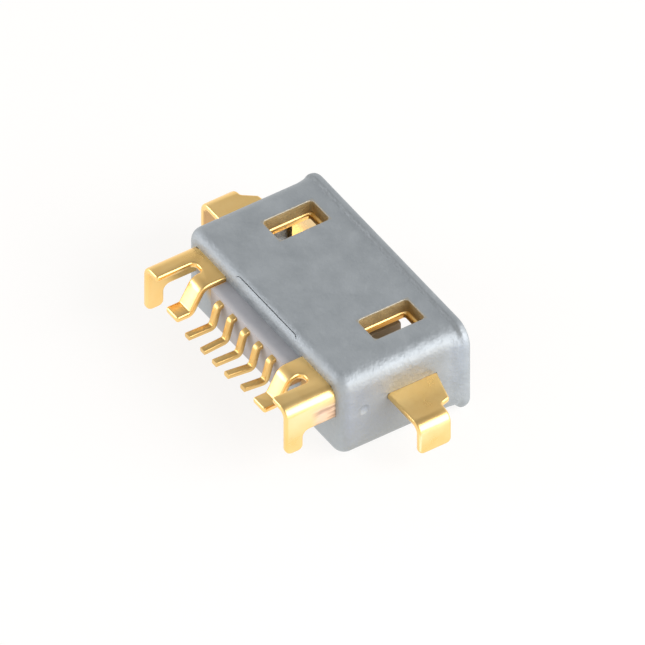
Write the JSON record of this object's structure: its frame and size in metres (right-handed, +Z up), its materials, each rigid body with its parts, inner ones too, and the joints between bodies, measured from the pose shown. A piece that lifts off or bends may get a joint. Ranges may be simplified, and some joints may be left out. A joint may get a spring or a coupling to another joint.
{
  "type": "charging port",
  "caption": "Small board-mounted charging socket: a rounded grey cover with two windows over a folded gold shell with feet, and a moulding that holds the contacts.",
  "frame": {"origin": "below the middle of the whole part, at the height of the mouth lip's lowest edge", "axes": "+X along the long side, +Y out of the mouth, +Z up away from the board"},
  "size_m": [0.011, 0.0058, 0.0031],
  "materials": {
    "cover_metal": "bead-blasted, satin, grey",
    "gold_plating": "gold plated, satin",
    "grey_plastic": "moulded, fine matte"
  },
  "bodies": {
    "root": {"cover": "cover_metal", "inner_shell": "gold_plating", "insulator": "grey_plastic", "contact_1": "gold_plating", "contact_2": "gold_plating", "contact_3": "gold_plating", "contact_4": "gold_plating", "contact_5": "gold_plating"}
  },
  "joints": []
}
